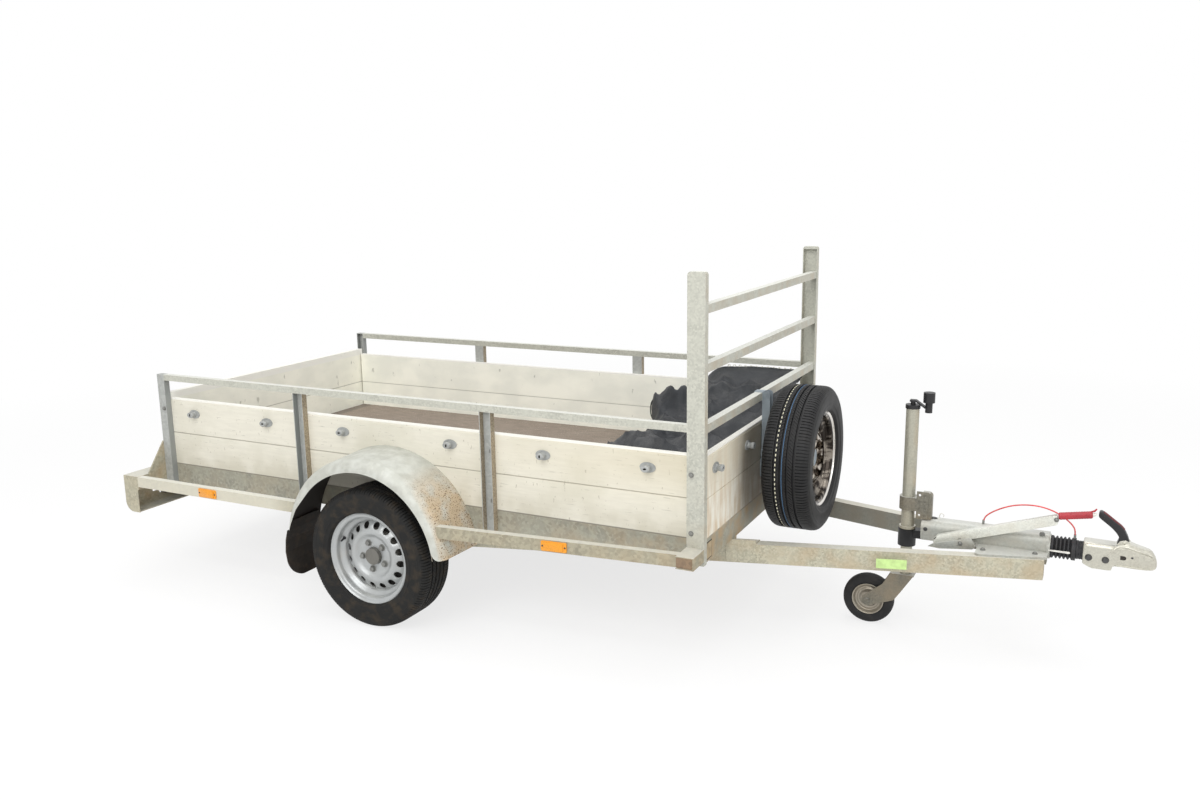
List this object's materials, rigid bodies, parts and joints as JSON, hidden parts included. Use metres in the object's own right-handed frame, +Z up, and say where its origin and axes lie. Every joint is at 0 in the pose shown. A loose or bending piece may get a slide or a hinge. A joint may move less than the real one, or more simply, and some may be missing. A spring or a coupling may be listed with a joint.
{
  "type": "utility trailer",
  "caption": "Single-axle braked utility trailer with an open plank-sided bed, drop tailgate, front rack, spare wheel, jockey wheel, overrun coupling and a folded cover",
  "frame": {"origin": "on the ground, in the middle of the trailer's length and width", "axes": "+X forward to the coupling, +Y to the trailer's left, +Z up"},
  "size_m": [4.097, 1.786, 1.415],
  "materials": {
    "galvanised_steel": "dull grey zinc with a faint spangle",
    "bright_zinc": "bright zinc plate, lightly worn",
    "wall_aluminium": "pale, chalky and lightly stained",
    "floor_wood": "weathered brown board",
    "road_tyre": "dusty black",
    "wheel_silver": "silver paint, slightly dusty",
    "spare_rim_bright": "polished silver",
    "cast_iron": "rough dark iron",
    "blue_grey_paint": "blue grey paint",
    "black_paint": "satin black",
    "black_rubber": "matt black",
    "red_plastic": "red, slightly faded",
    "cable_red": "red plastic coat",
    "orange_lens": "orange lens",
    "lamp_red": "red lens in a black tray",
    "plate_white": "blank and pale",
    "grey_plastic": "grey moulding",
    "cover_cloth": "black coated cloth, folded"
  },
  "bodies": {
    "chassis": {"chassis_sides": "galvanised_steel", "cross_members": "galvanised_steel", "floor_board": "floor_wood", "drawbar_beams": "galvanised_steel", "rear_beam": "galvanised_steel", "rear_lamps": "lamp_red", "number_plate": "plate_white", "side_bars": "galvanised_steel", "side_posts_right": "galvanised_steel", "side_posts_left": "galvanised_steel", "side_rail_right": "galvanised_steel", "side_rail_left": "galvanised_steel", "rack_posts": "galvanised_steel", "rack_bars": "galvanised_steel", "side_wall_right": "wall_aluminium", "side_wall_left": "wall_aluminium", "front_wall": "wall_aluminium", "gate_hinges": "galvanised_steel", "mudguard_right": "galvanised_steel", "mudguard_left": "galvanised_steel", "mud_flap_right": "black_rubber", "mud_flap_left": "black_rubber", "axle_beam": "galvanised_steel", "spare_tyre": "road_tyre", "spare_rim": "spare_rim_bright", "spare_bracket": "blue_grey_paint", "overrun_housing": "galvanised_steel", "overrun_shaft": "bright_zinc", "bellows": "black_rubber", "coupling_head": "bright_zinc", "coupling_handle": "black_paint", "handbrake_lever": "bright_zinc", "handbrake_grip": "red_plastic", "breakaway_cable": "cable_red", "jockey_tube": "bright_zinc", "jockey_clamp": "black_paint", "jockey_bracket": "bright_zinc", "jockey_crank": "black_paint", "side_markers": "orange_lens", "tie_knobs": "grey_plastic", "cover": "cover_cloth"},
    "wheel_right": {"tyre_right": "road_tyre", "rim_right": "wheel_silver", "drum_right": "cast_iron"},
    "wheel_left": {"tyre_left": "road_tyre", "rim_left": "wheel_silver", "drum_left": "cast_iron"},
    "gate": {"tailgate": "wall_aluminium", "gate_straps": "galvanised_steel", "gate_latches": "galvanised_steel"},
    "jockey_column": {"jockey_inner_tube": "bright_zinc"},
    "jockey_swivel": {"jockey_fork": "bright_zinc"},
    "jockey_wheel": {"jockey_tyre": "black_rubber", "jockey_rim": "wheel_silver"}
  },
  "joints": [
    {"name": "wheel_right_spin", "type": "hinge", "parent": "chassis", "child": "wheel_right", "pos_m": [-0.6855, -0.795, 0.28], "axis": [0, 1, 0], "continuous": true},
    {"name": "wheel_left_spin", "type": "hinge", "parent": "chassis", "child": "wheel_left", "pos_m": [-0.6855, 0.795, 0.28], "axis": [0, 1, 0], "continuous": true},
    {"name": "tailgate_swing", "type": "hinge", "parent": "chassis", "child": "gate", "pos_m": [-1.9535, 0, 0.478], "axis": [0, -1, 0], "range_deg": [0, 95]},
    {"name": "jockey_slide", "type": "slide", "parent": "chassis", "child": "jockey_column", "axis": [0, 0, 1], "range_m": [-0.1, 0.1]},
    {"name": "jockey_swivel_turn", "type": "hinge", "parent": "jockey_column", "child": "jockey_swivel", "pos_m": [1.2035, 0, 0.24], "axis": [0, 0, 1], "continuous": true},
    {"name": "jockey_wheel_spin", "type": "hinge", "parent": "jockey_swivel", "child": "jockey_wheel", "pos_m": [1.0695, 0, 0.098], "axis": [0, 1, 0], "continuous": true}
  ]
}
